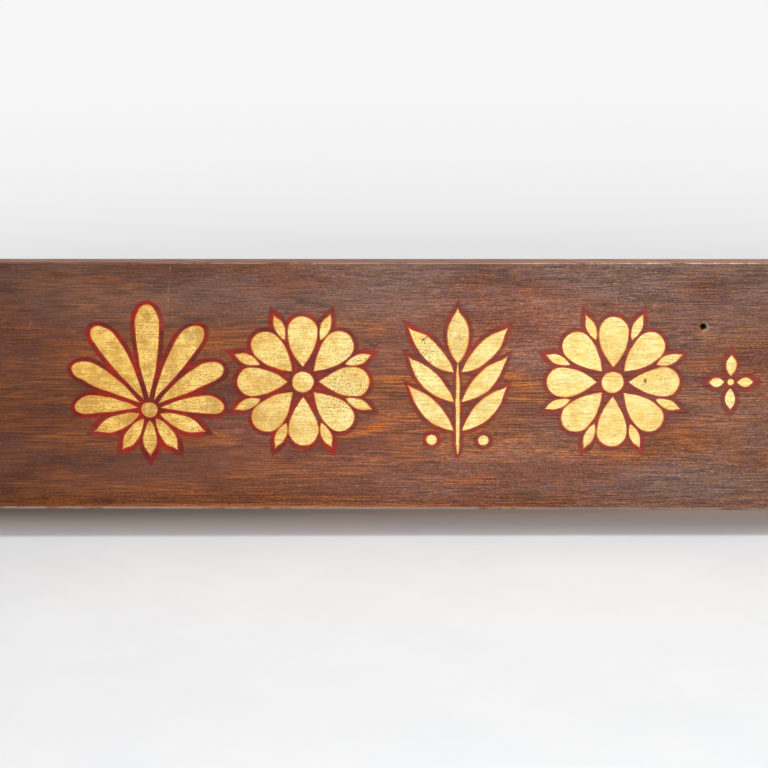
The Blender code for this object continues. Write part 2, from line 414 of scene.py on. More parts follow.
def painted_light_pool(tree, place, middle, reach, lift):
    """How much lighter each point is for lying in a painted pool of light, a warm sheen on the board."""
    (middle_x, middle_z), (reach_x, reach_z) = middle, reach
    centred = add(
        tree, "Mapping", Vector=place, Scale=(1 / reach_x, 0, 1 / reach_z),
        Location=(-middle_x / reach_x, 0, -middle_z / reach_z),
    )
    off_middle = add(tree, "VectorMath", {"operation": "LENGTH"}, Vector=centred.outputs[0]).outputs["Value"]
    return fade(tree, off_middle, 1.0, 0.3, low=1.0, high=lift)


def grain_tone_and_painted_light(tree, place, grain, x, from_middle, rippled):
    """The lightness of the wood over its colour, from wide ribbons down to grit, with painted shade darkening
    it towards the left end as light falling off, and painted pools of light.
    """
    distinct = fade(tree, x, -1.10, -0.45, low=1.7, high=3.5)
    fine = calculate(tree, "ADD", 1.0, times(tree, swing(tree, rippled), distinct))
    ribbons = swing(tree, streaks(tree, grain, 30, 240, detail=2.0, shift=89.0))
    ribbons = times(tree, ribbons, fade(tree, x, -1.00, -0.60, low=0.90, high=0.12))
    grit = swing(tree, streaks(tree, grain, 850, 1050, detail=0.0, shift=107.0))
    grit = times(tree, grit, fade(tree, x, -1.10, -0.45, low=0.50, high=1.10))
    return times(
        tree, fine,
        calculate(tree, "ADD", calculate(tree, "ADD", ribbons, grit), 1.0),
        # Painted shade: the wood darkens towards its left end, as light falling off there.
        fade(tree, x, -1.18, -0.60, low=0.55, high=1.0),
        fade(tree, x, -0.56, -0.40, low=1.02, high=0.91),
        fade(tree, from_middle, 0.126, 0.083, low=0.92, high=1.08),
        *(painted_light_pool(tree, place, **patch) for patch in PAINTED_LIGHT_POOLS),
    )


def polished_wood(tree, place, grain, rippled, pore):
    """The colours of the stained and polished wood, before its wear. It is redder and darker to the left and
    below, the darkening to the left being painted shade for light falling off towards that end, and it
    carries painted pools of light, painted glints and a painted highlight beside the lower arris. Its grain
    stands out more to the right, where the polish has gone dry and milky."""
    axes = add(tree, "SeparateXYZ", Vector=place)
    x, z = axes.outputs["X"], axes.outputs["Z"]
    from_middle = calculate(tree, "ABSOLUTE", calculate(tree, "ADD", z, 0.008))
    colour = stained(tree, grain, x, from_middle)
    colour = dried(tree, grain, x, z, colour)
    colour = warm_edge_and_bounce_highlight(tree, grain, x, z, rippled, colour)
    tint = fade(tree, streaks(tree, grain, 80, 1000, detail=1.0, shift=83.0), 0.38, 0.62)
    colour = blend(tree, 1.0, colour, blend(tree, tint, (0.92, 1.0, 1.24), (1.08, 1.0, 0.76)), "MULTIPLY")
    tone = grain_tone_and_painted_light(tree, place, grain, x, from_middle, rippled)
    shade = add(tree, "CombineColor", Red=tone, Green=tone, Blue=tone)
    colour = blend(tree, 1.0, colour, shade.outputs[0], "MULTIPLY")
    # Painted glints: short pale specks of highlight along the grain, fewer to the left.
    painted_glints = fade(tree, streaks(tree, grain, 190, 1100, detail=0.0, shift=37.0), 0.70, 0.78, high=0.50)
    painted_glints = times(tree, painted_glints, fade(tree, x, -1.10, -0.50, low=0.25))
    colour = blend(tree, painted_glints, colour, (0.430, 0.250, 0.190))
    deep = times(tree, pore, fade(tree, x, -1.16, -0.50, low=0.35, high=0.62))
    return blend(tree, deep, colour, (0.050, 0.030, 0.026))


def rubbed_and_highlit_edges(tree, place, x, y, z):
    """Where the front arrises are rubbed, in patches, and the colour there: worn wood lightened by a painted
    highlight.
    """
    inward = fade(tree, z, -0.01, 0.01, low=0.9 * FRONT_ARRIS, high=0.0)
    from_edge = calculate(tree, "ADD", calculate(tree, "ABSOLUTE", z), inward)
    kept_above = times(tree, fade(tree, x, -0.86, -0.95), fade(tree, z, 0.0, 0.01, high=0.75))
    kept_below = times(tree, fade(tree, x, -0.60, -0.48, high=0.28), fade(tree, z, 0.01, 0.0))
    darker_above = times(tree, fade(tree, x, -0.48, -0.64, high=0.42), fade(tree, z, 0.0, 0.01))
    worn = times(
        tree,
        fade(tree, from_edge, HALF_HEIGHT - 1.1 * FRONT_ARRIS, HALF_HEIGHT - 0.6 * FRONT_ARRIS),
        fade(tree, y, FACE_Y + 1.4 * FRONT_ARRIS, FACE_Y + 0.6 * FRONT_ARRIS),
        fade(tree, streaks(tree, place, 24, 60, detail=5.0, roughness=0.7, shift=23.0), 0.36, 0.52),
        remainder(tree, calculate(tree, "ADD", kept_above, kept_below)),
        remainder(tree, darker_above),
    )
    # Painted highlight on the rubbed arrises: paler along the top one, as light from above, and nearly white
    # along
    # its right part; the lower one's paleness is partly light bounced from the floor.
    colour = blend(tree, fade(tree, z, -0.01, 0.01), (0.330, 0.218, 0.170), (0.440, 0.290, 0.230))
    bare = times(
        tree,
        fade(tree, streaks(tree, place, 90, 90, roughness=0.7, shift=103.0), 0.46, 0.62),
        fade(tree, x, -0.66, -0.46),
        fade(tree, z, -0.01, 0.01),
    )
    return worn, blend(tree, bare, colour, (0.640, 0.510, 0.440))


def top_edge(tree, place, x):
    """The planed top edge, with pale lines along it, duller to the left."""
    lines = fade(tree, streaks(tree, place, 30, 700, detail=2.0, shift=67.0), 0.38, 0.60)
    colour = blend(tree, lines, (0.225, 0.100, 0.056), (0.440, 0.232, 0.142))
    return blend(tree, fade(tree, x, -0.62, -0.48, low=0.30, high=0.0), colour, (0.030, 0.016, 0.012))


def bare_back(tree, place, grain, rippled):
    """The back, which was never stained and has gathered dust."""
    clouds = fade(tree, streaks(tree, grain, 4, 34, detail=5.0, shift=97.0), 0.38, 0.62)
    colour = blend(tree, clouds, (0.262, 0.142, 0.086), (0.385, 0.232, 0.146))
    colour = blend(tree, fade(tree, rippled, 0.52, 0.40, high=0.55), colour, (0.150, 0.078, 0.046))
    dusty = fade(tree, streaks(tree, place, 9, 12, shift=101.0), 0.50, 0.68, high=0.45)
    return blend(tree, dusty, colour, (0.300, 0.250, 0.205))


def distance(tree, across, up, x, z):
    """How far a point of the face is from x and z."""
    squares = [
        calculate(tree, "POWER", calculate(tree, "SUBTRACT", value, middle), 2.0)
        for value, middle in ((across, x), (up, z))
    ]
    return calculate(tree, "SQRT", calculate(tree, "ADD", *squares))


def frayed_mouths(tree, place, x, z, colour):
    """The mouths of the open fixings, frayed to raw wood, with painted shade darkening their bores and a
    stain under each. Gives back where the wood is raw, and the colour."""
    from_centre = calculate(tree, "ABSOLUTE", x)
    frayed = swing(tree, streaks(tree, place, 420, 420, detail=2.0, shift=73.0))
    from_hole = distance(tree, from_centre, z, FIXING_X, FIXING_Z)
    ragged = calculate(tree, "ADD", from_hole, times(tree, frayed, 0.004))
    raw = fade(tree, ragged, FIXING_MOUTH + 0.0004, FIXING_MOUTH - 0.0010)
    sideways = fade(tree, calculate(tree, "SUBTRACT", from_centre, FIXING_X), -0.0025, 0.0035)
    colour = blend(tree, raw, colour, blend(tree, sideways, (0.300, 0.225, 0.170), (0.290, 0.105, 0.030)))
    # Painted shade: the bore and the foot of the countersink are painted near black.
    dark = fade(tree, ragged, FIXING_BORE + 0.0013, FIXING_BORE + 0.0002)
    colour = blend(tree, dark, colour, (0.015, 0.010, 0.008))
    from_stain = distance(tree, from_centre, z, FIXING_X - 0.004, FIXING_Z - 0.011)
    return raw, blend(tree, fade(tree, from_stain, 0.011, 0.002, high=0.22), colour, (0.380, 0.145, 0.045))


def scratch(tree, x, z, top, bottom, width):
    """A straight scratch from one (x, z) point to another, where this is 1."""
    slope = (bottom[0] - top[0]) / (bottom[1] - top[1])
    line = calculate(tree, "ADD", times(tree, z, slope), top[0] - slope * top[1])
    off = calculate(tree, "ABSOLUTE", calculate(tree, "SUBTRACT", x, line))
    middle, reach = (top[1] + bottom[1]) / 2, abs(top[1] - bottom[1]) / 2
    along = calculate(tree, "ABSOLUTE", calculate(tree, "SUBTRACT", z, middle))
    return times(tree, fade(tree, off, width, width * 0.3), fade(tree, along, reach, reach * 0.8))


def mahogany():
    material, tree, shader, place = new_finish("mahogany")
    grain = waved(tree, place)
    axes = add(tree, "SeparateXYZ", Vector=place)
    x, y, z = (axes.outputs[name] for name in "XYZ")
    rippled = ripple(tree, grain)
    pore = pores(tree, grain)
    colour = polished_wood(tree, place, grain, rippled, pore)
    worn, worn_and_highlit_colour = rubbed_and_highlit_edges(tree, place, x, y, z)
    colour = blend(tree, worn, colour, worn_and_highlit_colour)
    on_top = fade(tree, z, HALF_HEIGHT - 0.0004, HALF_HEIGHT - 0.0001, high=0.85)
    colour = blend(tree, on_top, colour, top_edge(tree, place, x))
    behind = fade(tree, y, BACK_Y - 0.0006, BACK_Y - 0.0001, high=0.90)
    colour = blend(tree, behind, colour, bare_back(tree, place, grain, rippled))
    from_centre = calculate(tree, "ABSOLUTE", x)
    end_grain = fade(tree, from_centre, BOARD_HIGH.x - 0.0006, BOARD_HIGH.x - 0.0002, high=0.7)
    colour = blend(tree, end_grain, colour, (0.075, 0.034, 0.022))
    raw, colour = frayed_mouths(tree, place, x, z, colour)

    scratched, *others = [scratch(tree, x, z, **one) for one in SCRATCHES]
    for other in others:
        scratched = calculate(tree, "MAXIMUM", scratched, other)
    broken = fade(tree, streaks(tree, place, 200, 160, detail=2.0, shift=71.0), 0.40, 0.62, high=0.34)
    colour = blend(tree, times(tree, scratched, broken), colour, (0.430, 0.300, 0.240))

    satin = fade(tree, rippled, 0.35, 0.65, low=0.58, high=0.46)
    dry = calculate(tree, "MAXIMUM", calculate(tree, "MAXIMUM", worn, raw), behind)
    roughness = calculate(tree, "ADD", satin, times(tree, dry, 0.3))
    relief = calculate(tree, "SUBTRACT", rippled, calculate(tree, "ADD", pore, scratched))
    surface(
        tree, shader, relief, 0.5, 0.00012, Base_Color=colour, Roughness=roughness, Specular_IOR_Level=0.12
    )
    return material


def dress(obj, material, slot, *nodes):
    """Gives a finished piece its material, hides the CAD nodes it stands for and fixes it to the sign. The
    slot is not used.
    """
    obj.data.materials.clear()
    obj.data.materials.append(material)
    if nodes:
        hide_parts(*nodes)
    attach(obj, "root")


mahogany_finish = mahogany()
dress(make_board(), mahogany_finish, "mahogany", "name_board")


# Two mahogany pellets stop the old wall fixings. They are glued in and pared flush, with their grain a little
# askew to the board's, and a dark line shows round each.
PELLET_TILT = math.radians(14)
PELLET_SINK = 0.00015
PELLET_ROUNDING = 0.0003


def pellet_wood():
    material, tree, shader, place = new_finish("pellet_wood")
    askew = add(tree, "Mapping", Vector=place, Rotation=(0, PELLET_TILT, 0)).outputs[0]
    rippled = ripple(tree, askew)
    colour = polished_wood(tree, place, askew, rippled, pores(tree, askew))
    surface(tree, shader, rippled, 0.4, 0.0001, Base_Color=colour, Roughness=0.5, Specular_IOR_Level=0.12)
    return material


pellet_finish = pellet_wood()
for node in ("left_pellet", "right_pellet"):
    low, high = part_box(node)
    radius = (high.x - low.x) / 2
    front = low.y + PELLET_SINK
    profile = [(radius - PELLET_ROUNDING, front), (radius, front + PELLET_ROUNDING), (radius, high.y)]
    plug = turned(node + "_plug", profile, (low.x + high.x) / 2, (low.z + high.z) / 2)
    bpy.ops.object.shade_smooth_by_angle(angle=math.radians(50))
    dress(plug, pellet_finish, "pellet_wood", node)


# Four battens of sawn deal lie across the back. They keep the plank flat and stand it off the wall.
# Their outsides have gone brown and dusty, and the saw's marks still show.
def deal():
    material, tree, shader, place = new_finish("deal")
    rings_place = add(tree, "Mapping", Vector=place, Scale=(150, 150, 5)).outputs[0]
    rings = dapple(tree, rings_place, 1.0, 3.0, distortion=0.4)
    lines_place = add(tree, "Mapping", Vector=place, Scale=(900, 900, 25)).outputs[0]
    lines = dapple(tree, lines_place, 1.0, 2.0)
    dirt = dapple(tree, place, 28.0, 5.0)
    saw = add(
        tree, "TexWave", {"bands_direction": "Z"}, Vector=place, Scale=110.0, Distortion=3.0, Detail=1.0
    ).outputs["Fac"]
    colour = blend(tree, fade(tree, rings, 0.38, 0.62), (0.290, 0.170, 0.085), (0.520, 0.350, 0.195))
    colour = blend(tree, fade(tree, lines, 0.4, 0.7, high=0.35), colour, (0.180, 0.105, 0.055))
    colour = blend(tree, fade(tree, dirt, 0.48, 0.70, high=0.6), colour, (0.165, 0.120, 0.085))
    relief = calculate(tree, "ADD", rings, times(tree, saw, 0.5))
    surface(tree, shader, relief, 0.6, 0.0003, Base_Color=colour, Roughness=0.8, Specular_IOR_Level=0.25)
    return material


def refinish(prefix, excluded, material):
    """Gives the CAD nodes whose names start so, and don't hold an excluded word, a better material."""
    for name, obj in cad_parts.items():
        if name.startswith(prefix) and not any(word in name for word in excluded):
            obj.data.materials.clear()
            obj.data.materials.append(material)


refinish("batten_", ("_screw_", "_washer_"), deal())


# Slotted round-head steel screws on washers hold the battens. Steel left in damp wood goes dull and freckles
# with rust.
def aged_steel():
    material, tree, shader, place = new_finish("aged_steel")
    freckles = dapple(tree, place, 420.0, 4.0, roughness=0.7)
    patches = times(tree, dapple(tree, place, 90.0, 2.0), 0.5)
    rust = fade(tree, calculate(tree, "ADD", freckles, patches), 0.70, 0.84)
    colour = blend(tree, rust, (0.300, 0.285, 0.265), (0.190, 0.075, 0.030))
    metallic = calculate(tree, "SUBTRACT", 0.95, rust)
    roughness = fade(tree, rust, 0.0, 1.0, low=0.42, high=0.85)
    surface(tree, shader, freckles, 0.5, 0.0001, Base_Color=colour, Metallic=metallic, Roughness=roughness)
    return material


steel_finish = aged_steel()
for number in range(1, 5):
    refinish(f"batten_{number}_", (), steel_finish)


# The ornament is painted and gilded straight on the wood: leaves and petals of gold leaf, each ringed by
# hand with a dark red line. Three groups of four motifs stand along the board, with a small pip between them.
MOTIF_PITCH = 0.155
MOTIF_Z = 0.006
GROUP_CENTRES = (-0.700, 0.0, 0.700)
PIP_X = 0.350
LINE = 0.0045
TIP_LINE = 0.0100
WASH_EDGE = 0.0010
SIZE_EDGE = 0.0010
WASH_FILM = 0.00006
RED_FILM = 0.00010
SIZE_FILM = 0.00014
GOLD_FILM = 0.00022
FILM_BED = 0.00006
OUTLINE_STEPS = 14
WELD = 1e-6
HAND_SWAY = 0.0006
LINE_SWAY = 0.0004
BRISTLE = 0.00016
HAND_SEED = 5
PALMETTE_HEART = (0.0, -0.029)
PALMETTE_STALK = 0.0125
PALMETTE_FAN = ((0, 0.094, 0.0230), (26, 0.087, 0.0215), (52, 0.074, 0.0200), (79, 0.061, 0.0175))
PALMETTE_TAIL = ((112, 0.047, 0.0150), (146, 0.037, 0.0130), (180, 0.035, 0.0130))
FAN_BEND = 0.010
SPRAY_PAIRS = (-0.050, -0.020, 0.010)
SPRAY_ANGLE = math.radians(50)
SPRAY_BEND = 0.006


def lay_flat(obj, start, angle):
    """Turns a flat curve clockwise by an angle about its foot and stands it on the face at start, (x, z)."""
    curve = obj.data
    curve.dimensions = "2D"
    curve.fill_mode = "BOTH"
    curve.resolution_u = OUTLINE_STEPS
    stand = Matrix.Translation((start[0], 0, start[1])) @ Matrix.Rotation(math.pi / 2, 4, "X")
    obj.matrix_world = stand @ Matrix.Rotation(-angle, 4, "Z")
    return obj


def leaf(start, angle, length, width, belly, margin, tip_margin=0.0, tip="pointed", neck=0.3, bend=0.0):
    """A flat leaf as a closed curve in the plane of the face: a bezier circle, with its four points drawn out
    to the stalk, the two sides and the tip. Its neck says how wide it leaves the stalk, its bend carries the
    tip sideways, and the margin makes it that much larger all round."""
    deselect()
    bpy.ops.curve.primitive_bezier_circle_add(radius=1, location=(0, 0, 0))
    obj = bpy.context.active_object
    half = width / 2 + margin
    wide_at = belly * length
    pointed = tip == "pointed"
    end = length + (tip_margin if pointed else margin)
    foot = -1.2 * margin
    rise, fall = end - wide_at, wide_at - foot
    neck_side, neck_up = half * neck + margin * 0.3, foot + fall * 0.12
    side_low, side_high = wide_at - fall * 0.5, wide_at + rise * 0.55
    tip_side, tip_up = (half * 0.28, end - rise * 0.30) if pointed else (half * 0.56, end)
    shapes = (
        ((0, foot), (neck_side, neck_up), (-neck_side, neck_up)),
        ((-half, wide_at), (-half, side_low), (-half, side_high)),
        ((0, end), (-tip_side, tip_up), (tip_side, tip_up)),
        ((half, wide_at), (half, side_high), (half, side_low)),
    )
    for point, places in zip(obj.data.splines[0].bezier_points, shapes):
        point.handle_left_type = point.handle_right_type = "FREE"
        bent = [Vector((x + bend * (max(z, 0) / length) ** 2, z, 0)) for x, z in places]
        point.co, point.handle_left, point.handle_right = bent
    return lay_flat(obj, start, angle)


def disc(centre, radius, margin):
    deselect()
    bpy.ops.curve.primitive_bezier_circle_add(radius=radius + margin, location=(0, 0, 0))
    return lay_flat(bpy.context.active_object, centre, 0.0)


def outward(angle, reach, centre=(0.0, 0.0)):
    """The point at a reach from a centre, at a clockwise angle from upright."""
    return (centre[0] + reach * math.sin(angle), centre[1] + reach * math.cos(angle))


def palmette(margin, tip_margin):
    """A fan of seven round-ended leaves over a pair of drooping ones and a tail of three. Its leaves are
    listed as the angle from upright in degrees, the length and the width."""
    shapes = [disc(PALMETTE_HEART, 0.0070, margin)]
    for degrees, length, width in PALMETTE_FAN:
        for side in (-1, 1) if degrees else (1,):
            angle = side * math.radians(degrees)
            start = outward(angle, PALMETTE_STALK, PALMETTE_HEART)
            bend = side * FAN_BEND if degrees else 0.0
            shapes.append(leaf(
                start, angle, length, width, belly=0.80, tip="round", neck=0.16, bend=bend, margin=margin
            ))
    for degrees, length, width in PALMETTE_TAIL:
        for side in (-1, 1) if degrees < 180 else (1,):
            angle = side * math.radians(degrees)
            start = outward(angle, PALMETTE_STALK, PALMETTE_HEART)
            shapes.append(leaf(start, angle, length, width, belly=0.55, margin=margin, tip_margin=tip_margin))
    return shapes


def rosette(margin, tip_margin):
    """Eight round petals about a boss, with a small leaf in each gap."""
    shapes = [disc((0.0, 0.0), 0.0105, margin)]
    for step in range(8):
        angle = step * math.tau / 8
        start = outward(angle, 0.016)
        shapes.append(leaf(start, angle, 0.050, 0.029, belly=0.70, tip="round", neck=0.2, margin=margin))
        angle += math.tau / 16
        start = outward(angle, 0.047)
        shapes.append(leaf(start, angle, 0.026, 0.009, belly=0.5, margin=margin, tip_margin=tip_margin))
    return shapes


def spray(margin, tip_margin):
    """An upright spray on a thin stem: three pairs of leaves, a top leaf, and a berry on each side."""
    shapes = [
        leaf((0.0, 0.020), 0.0, 0.054, 0.020, belly=0.5, margin=margin, tip_margin=tip_margin),
        leaf((0.0, -0.074), 0.0, 0.092, 0.0034, belly=0.3, tip="round", neck=0.6, margin=margin),
    ]
    for z in SPRAY_PAIRS:
        for side in (-1, 1):
            shapes.append(leaf(
                (side * 0.0045, z), side * SPRAY_ANGLE, 0.063, 0.0175, belly=0.50, bend=-side * SPRAY_BEND,
                margin=margin, tip_margin=tip_margin,
            ))
    for side in (-1, 1):
        shapes.append(disc((side * 0.026, -0.060), 0.0050, margin))
    return shapes


def pip(margin, tip_margin):
    """Four small leaves about a dot, the upright pair the longer."""
    shapes = [disc((0.0, 0.0), 0.0032, margin)]
    for step in range(4):
        angle = step * math.tau / 4
        length = 0.021 if step % 2 == 0 else 0.015
        start = outward(angle, 0.007)
        shapes.append(leaf(start, angle, length, 0.0095, belly=0.5, margin=margin, tip_margin=tip_margin))
    return shapes


def close_edges(obj):
    """Joins a converted curve's faces along their edges, which leaves one closed skin."""
    make_active(obj)
    bpy.ops.object.mode_set(mode="EDIT")
    bpy.ops.mesh.select_all(action="SELECT")
    bpy.ops.mesh.remove_doubles(threshold=WELD)
    bpy.ops.mesh.normals_make_consistent(inside=False)
    bpy.ops.object.mode_set(mode="OBJECT")


def film(name, shapes, height):
    """Makes flat curves into one film that stands this far off the face, as a closed mesh."""
    thickness = height + FILM_BED
    for shape in shapes:
        shape.data.extrude = thickness / 2
        shape.location.y = FACE_Y + FILM_BED - thickness / 2
    make_active(shapes[0])
    for shape in shapes:
        shape.select_set(True)
    bpy.ops.object.convert(target="MESH")
    first, *others = bpy.context.selected_objects
    for piece in (first, *others):
        close_edges(piece)
    make_active(first)
    bpy.ops.object.transform_apply(location=True, rotation=True, scale=True)
    apply_boolean(first, join(name + "_others", others), "UNION", merge_own=True)
    return name_piece(name)


def waver(obj, seed):
    """Lets the outline wander as a hand-drawn one does: slowly with the hand, finely with the bristles."""
    noise.seed_set(HAND_SEED)
    own = Vector((seed, 0, 0))
    for vert in obj.data.vertices:
        hand = noise.noise_vector(vert.co * 45) * HAND_SWAY
        line = noise.noise_vector(vert.co * 90 + own) * LINE_SWAY
        bristles = noise.noise_vector(vert.co * 420 + own) * BRISTLE
        vert.co.x += hand.x + line.x + bristles.x
        vert.co.z += hand.z + line.z + bristles.z


def ornament_layer(name, height, margin, tip_margin, seed):
    """One film of the whole ornament. Each motif is made once and copied to its places, and then the whole
    outline wavers, so that no two come out alike."""
    middles = {}
    for number, make in enumerate((palmette, rosette, spray, rosette)):
        for group in GROUP_CENTRES:
            middles.setdefault(make, []).append(group + (number - 1.5) * MOTIF_PITCH)
    middles[pip] = [-PIP_X, PIP_X]
    placed = []
    for make, places in middles.items():
        pattern = film(f"{name}_{make.__name__}", make(margin, tip_margin), height)
        for x in places:
            make_active(pattern)
            bpy.ops.object.duplicate(linked=False)
            copy = bpy.context.active_object
            copy.location = (x, 0, MOTIF_Z)
            bpy.ops.object.transform_apply(location=True, rotation=True, scale=True)
            placed.append(copy)
        bpy.data.objects.remove(pattern, do_unlink=True)
    layer = join(name, placed)
    waver(layer, seed)
    return layer


def outline_red(name, cover_left, cover_right):
    """Crimson drawn on by brush: thin in places, so that the grain shows through it, and bloomed with age."""
    material, tree, shader, place = new_finish(name)
    grain = waved(tree, place)
    rippled = ripple(tree, grain)
    pore = pores(tree, grain)
    wood = polished_wood(tree, place, grain, rippled, pore)
    x = add(tree, "SeparateXYZ", Vector=place).outputs["X"]
    coats = dapple(tree, place, 60.0, 5.0, roughness=0.6)
    red = blend(tree, fade(tree, coats, 0.36, 0.64), (0.116, 0.006, 0.004), (0.335, 0.014, 0.005))
    bloom = fade(tree, dapple(tree, place, 38.0, 4.0), 0.54, 0.72, high=0.35)
    bloom = calculate(tree, "ADD", bloom, fade(tree, x, -0.94, -0.50, low=0.03, high=0.55))
    red = blend(tree, bloom, red, (0.245, 0.070, 0.050))
    thin = times(tree, fade(tree, rippled, 0.54, 0.44), fade(tree, coats, 0.62, 0.44), 0.46)
    cover = fade(tree, x, -0.95, -0.45, low=cover_left, high=cover_right)
    colour = blend(tree, times(tree, remainder(tree, thin), cover), wood, red)
    colour = blend(tree, times(tree, pore, 0.4), colour, (0.055, 0.010, 0.009))
    surface(tree, shader, rippled, 0.4, 0.0001, Base_Color=colour, Roughness=0.5, Specular_IOR_Level=0.14)
    return material


def oil_size():
    """The orange-yellow size that holds the leaf, which peeps out along its edge here and there."""
    material, tree, shader, place = new_finish("oil_size")
    patches = fade(tree, dapple(tree, place, 34.0, 4.0, roughness=0.6), 0.46, 0.58)
    colour = blend(tree, patches, (0.345, 0.026, 0.008), (0.700, 0.235, 0.020))
    feed(tree, shader, Base_Color=colour, Roughness=0.5)
    return material


def gold_colour(tree, place, x, rippled, mottle):
    """Gold that is deeper and dirtier to the left, paler and smoother to the right, with painted shade in the
    grain's hollows and a painted highlight on its ridges.
    """
    mottled = fade(tree, mottle, 0.40, 0.58)
    deeper = blend(tree, mottled, (0.640, 0.350, 0.060), (1.000, 0.660, 0.160))
    paler = blend(tree, mottled, (0.985, 0.720, 0.230), (1.000, 0.900, 0.410))
    colour = blend(tree, fade(tree, x, -0.98, -0.66), deeper, paler)
    grains = fade(tree, dapple(tree, place, 620.0, 1.0), 0.46, 0.32)
    grains = times(tree, grains, fade(tree, x, -0.92, -0.62, low=0.90, high=0.32))
    colour = blend(tree, grains, colour, (0.480, 0.250, 0.048))
    # Painted shade in the grain's hollows, then a painted highlight on its ridges.
    painted_hollow_shade = times(tree, fade(tree, rippled, 0.49, 0.39), fade(tree, x, -0.92, -0.66, low=0.62, high=0.56))
    colour = blend(tree, painted_hollow_shade, colour, (0.620, 0.320, 0.058))
    colour = blend(tree, fade(tree, rippled, 0.54, 0.64, high=0.50), colour, (1.000, 0.900, 0.480))
    sheets = add(tree, "TexVoronoi", {"distance": "CHEBYCHEV"}, Vector=place, Scale=13.0, Randomness=0.35)
    sheet_tone = add(tree, "SeparateColor", Color=sheets.outputs["Color"]).outputs[0]
    colour = blend(tree, fade(tree, sheet_tone, 0.2, 0.9, high=0.16), colour, (0.780, 0.450, 0.095))
    dirt = fade(tree, dapple(tree, place, 34.0, 6.0, roughness=0.65), 0.50, 0.66)
    dirt = times(tree, dirt, fade(tree, x, -0.95, -0.75, low=0.80, high=0.22))
    return blend(tree, dirt, colour, (0.440, 0.225, 0.050))


def lost_gold(tree, place, x):
    """Where the leaf is worn through, in specks and short cracks."""
    rubbed = dapple(tree, place, 16.0, 3.0)
    specks = dapple(tree, place, 800.0, 2.0, roughness=0.6)
    pitted = calculate(tree, "ADD", specks, times(tree, rubbed, 0.40))
    pits = fade(tree, calculate(tree, "SUBTRACT", pitted, fade(tree, x, -0.90, -0.60, high=0.03)), 0.84, 0.90)
    seams = swing(tree, dapple(tree, place, 85.0, 2.0, distortion=0.6))
    cracks = times(
        tree,
        fade(tree, calculate(tree, "ABSOLUTE", seams), 0.012, 0.005),
        fade(tree, dapple(tree, place, 130.0, 2.0), 0.50, 0.56),
        fade(tree, rubbed, 0.56, 0.64),
    )
    return calculate(tree, "MAXIMUM", pits, cracks)


def gold_leaf():
    """Beaten gold laid over the grain: it sinks into the pores, is rubbed and dirty in places, is worn
    through in specks and short cracks, and is a shade deeper where two leaves lap."""
    material, tree, shader, place = new_finish("gold_leaf")
    grain = waved(tree, place)
    rippled = ripple(tree, grain)
    x = add(tree, "SeparateXYZ", Vector=place).outputs["X"]
    mottle = dapple(tree, place, 48.0, 7.0, roughness=0.7)
    colour = gold_colour(tree, place, x, rippled, mottle)
    sunk = times(tree, pores(tree, grain), fade(tree, x, -0.95, -0.66, low=0.50, high=0.34))
    colour = blend(tree, sunk, colour, (0.450, 0.225, 0.045))
    lost = lost_gold(tree, place, x)
    colour = blend(tree, lost, colour, (0.185, 0.056, 0.020))
    metallic = calculate(tree, "SUBTRACT", 0.8, times(tree, lost, 0.8))
    roughness = fade(tree, mottle, 0.3, 0.7, low=0.55, high=0.42)
    relief = calculate(tree, "SUBTRACT", rippled, calculate(tree, "ADD", lost, sunk))
    surface(tree, shader, relief, 0.5, 0.00015, Base_Color=colour, Metallic=metallic, Roughness=roughness)
    return material


wash_finish = outline_red("red_wash", 0.75, 0.30)
line_finish = outline_red("outline_red", 0.97, 0.92)
for name, film_height, edge, tip_edge, seed, finish, slot in (
    ("red_wash", WASH_FILM, LINE + WASH_EDGE, TIP_LINE + 2 * WASH_EDGE, 3.0, wash_finish, "outline_paint"),
    ("red_outline", RED_FILM, LINE, TIP_LINE, 4.0, line_finish, "outline_paint"),
    ("size_edge", SIZE_FILM, SIZE_EDGE, 2 * SIZE_EDGE, 9.0, oil_size(), "outline_paint"),
    ("gilding", GOLD_FILM, 0.0, 0.0, 9.0, gold_leaf(), "gold_leaf"),
):
    dress(ornament_layer(name, film_height, edge, tip_edge, seed), finish, slot)


# The sign hangs just clear of a pale floor that isn't quite level with it, as in the photograph. The sign's
# shadow is partly painted on the floor: painted shadow under the sign's left part, a painted warm tint in all
# its shadow and painted shade in bands in front. Its far parts glow for the camera alone, as pale as the
# background there, and the glow dims towards the sign as painted shade.
FLOOR_MIDDLE = -0.70
FLOOR_DROP = 0.035
FLOOR_TILT = math.radians(-0.25)
FLOOR_REACH = 30.0
FLOOR_NEAR, FLOOR_FAR = 1.10, 1.55
FLOOR_DIRT_AND_SHADE = (0.50, 0.50, 0.49)
PAINTED_SHADE_BANDS = ((-0.20, -0.62, 0.18), (-0.95, -1.60, 0.75), (-0.17, -0.05, 0.05))
GLOW_START = 1.80
GLOW_POWER = 2.7
BACKGROUND_NEAR = 0.765
BACKGROUND = 0.93


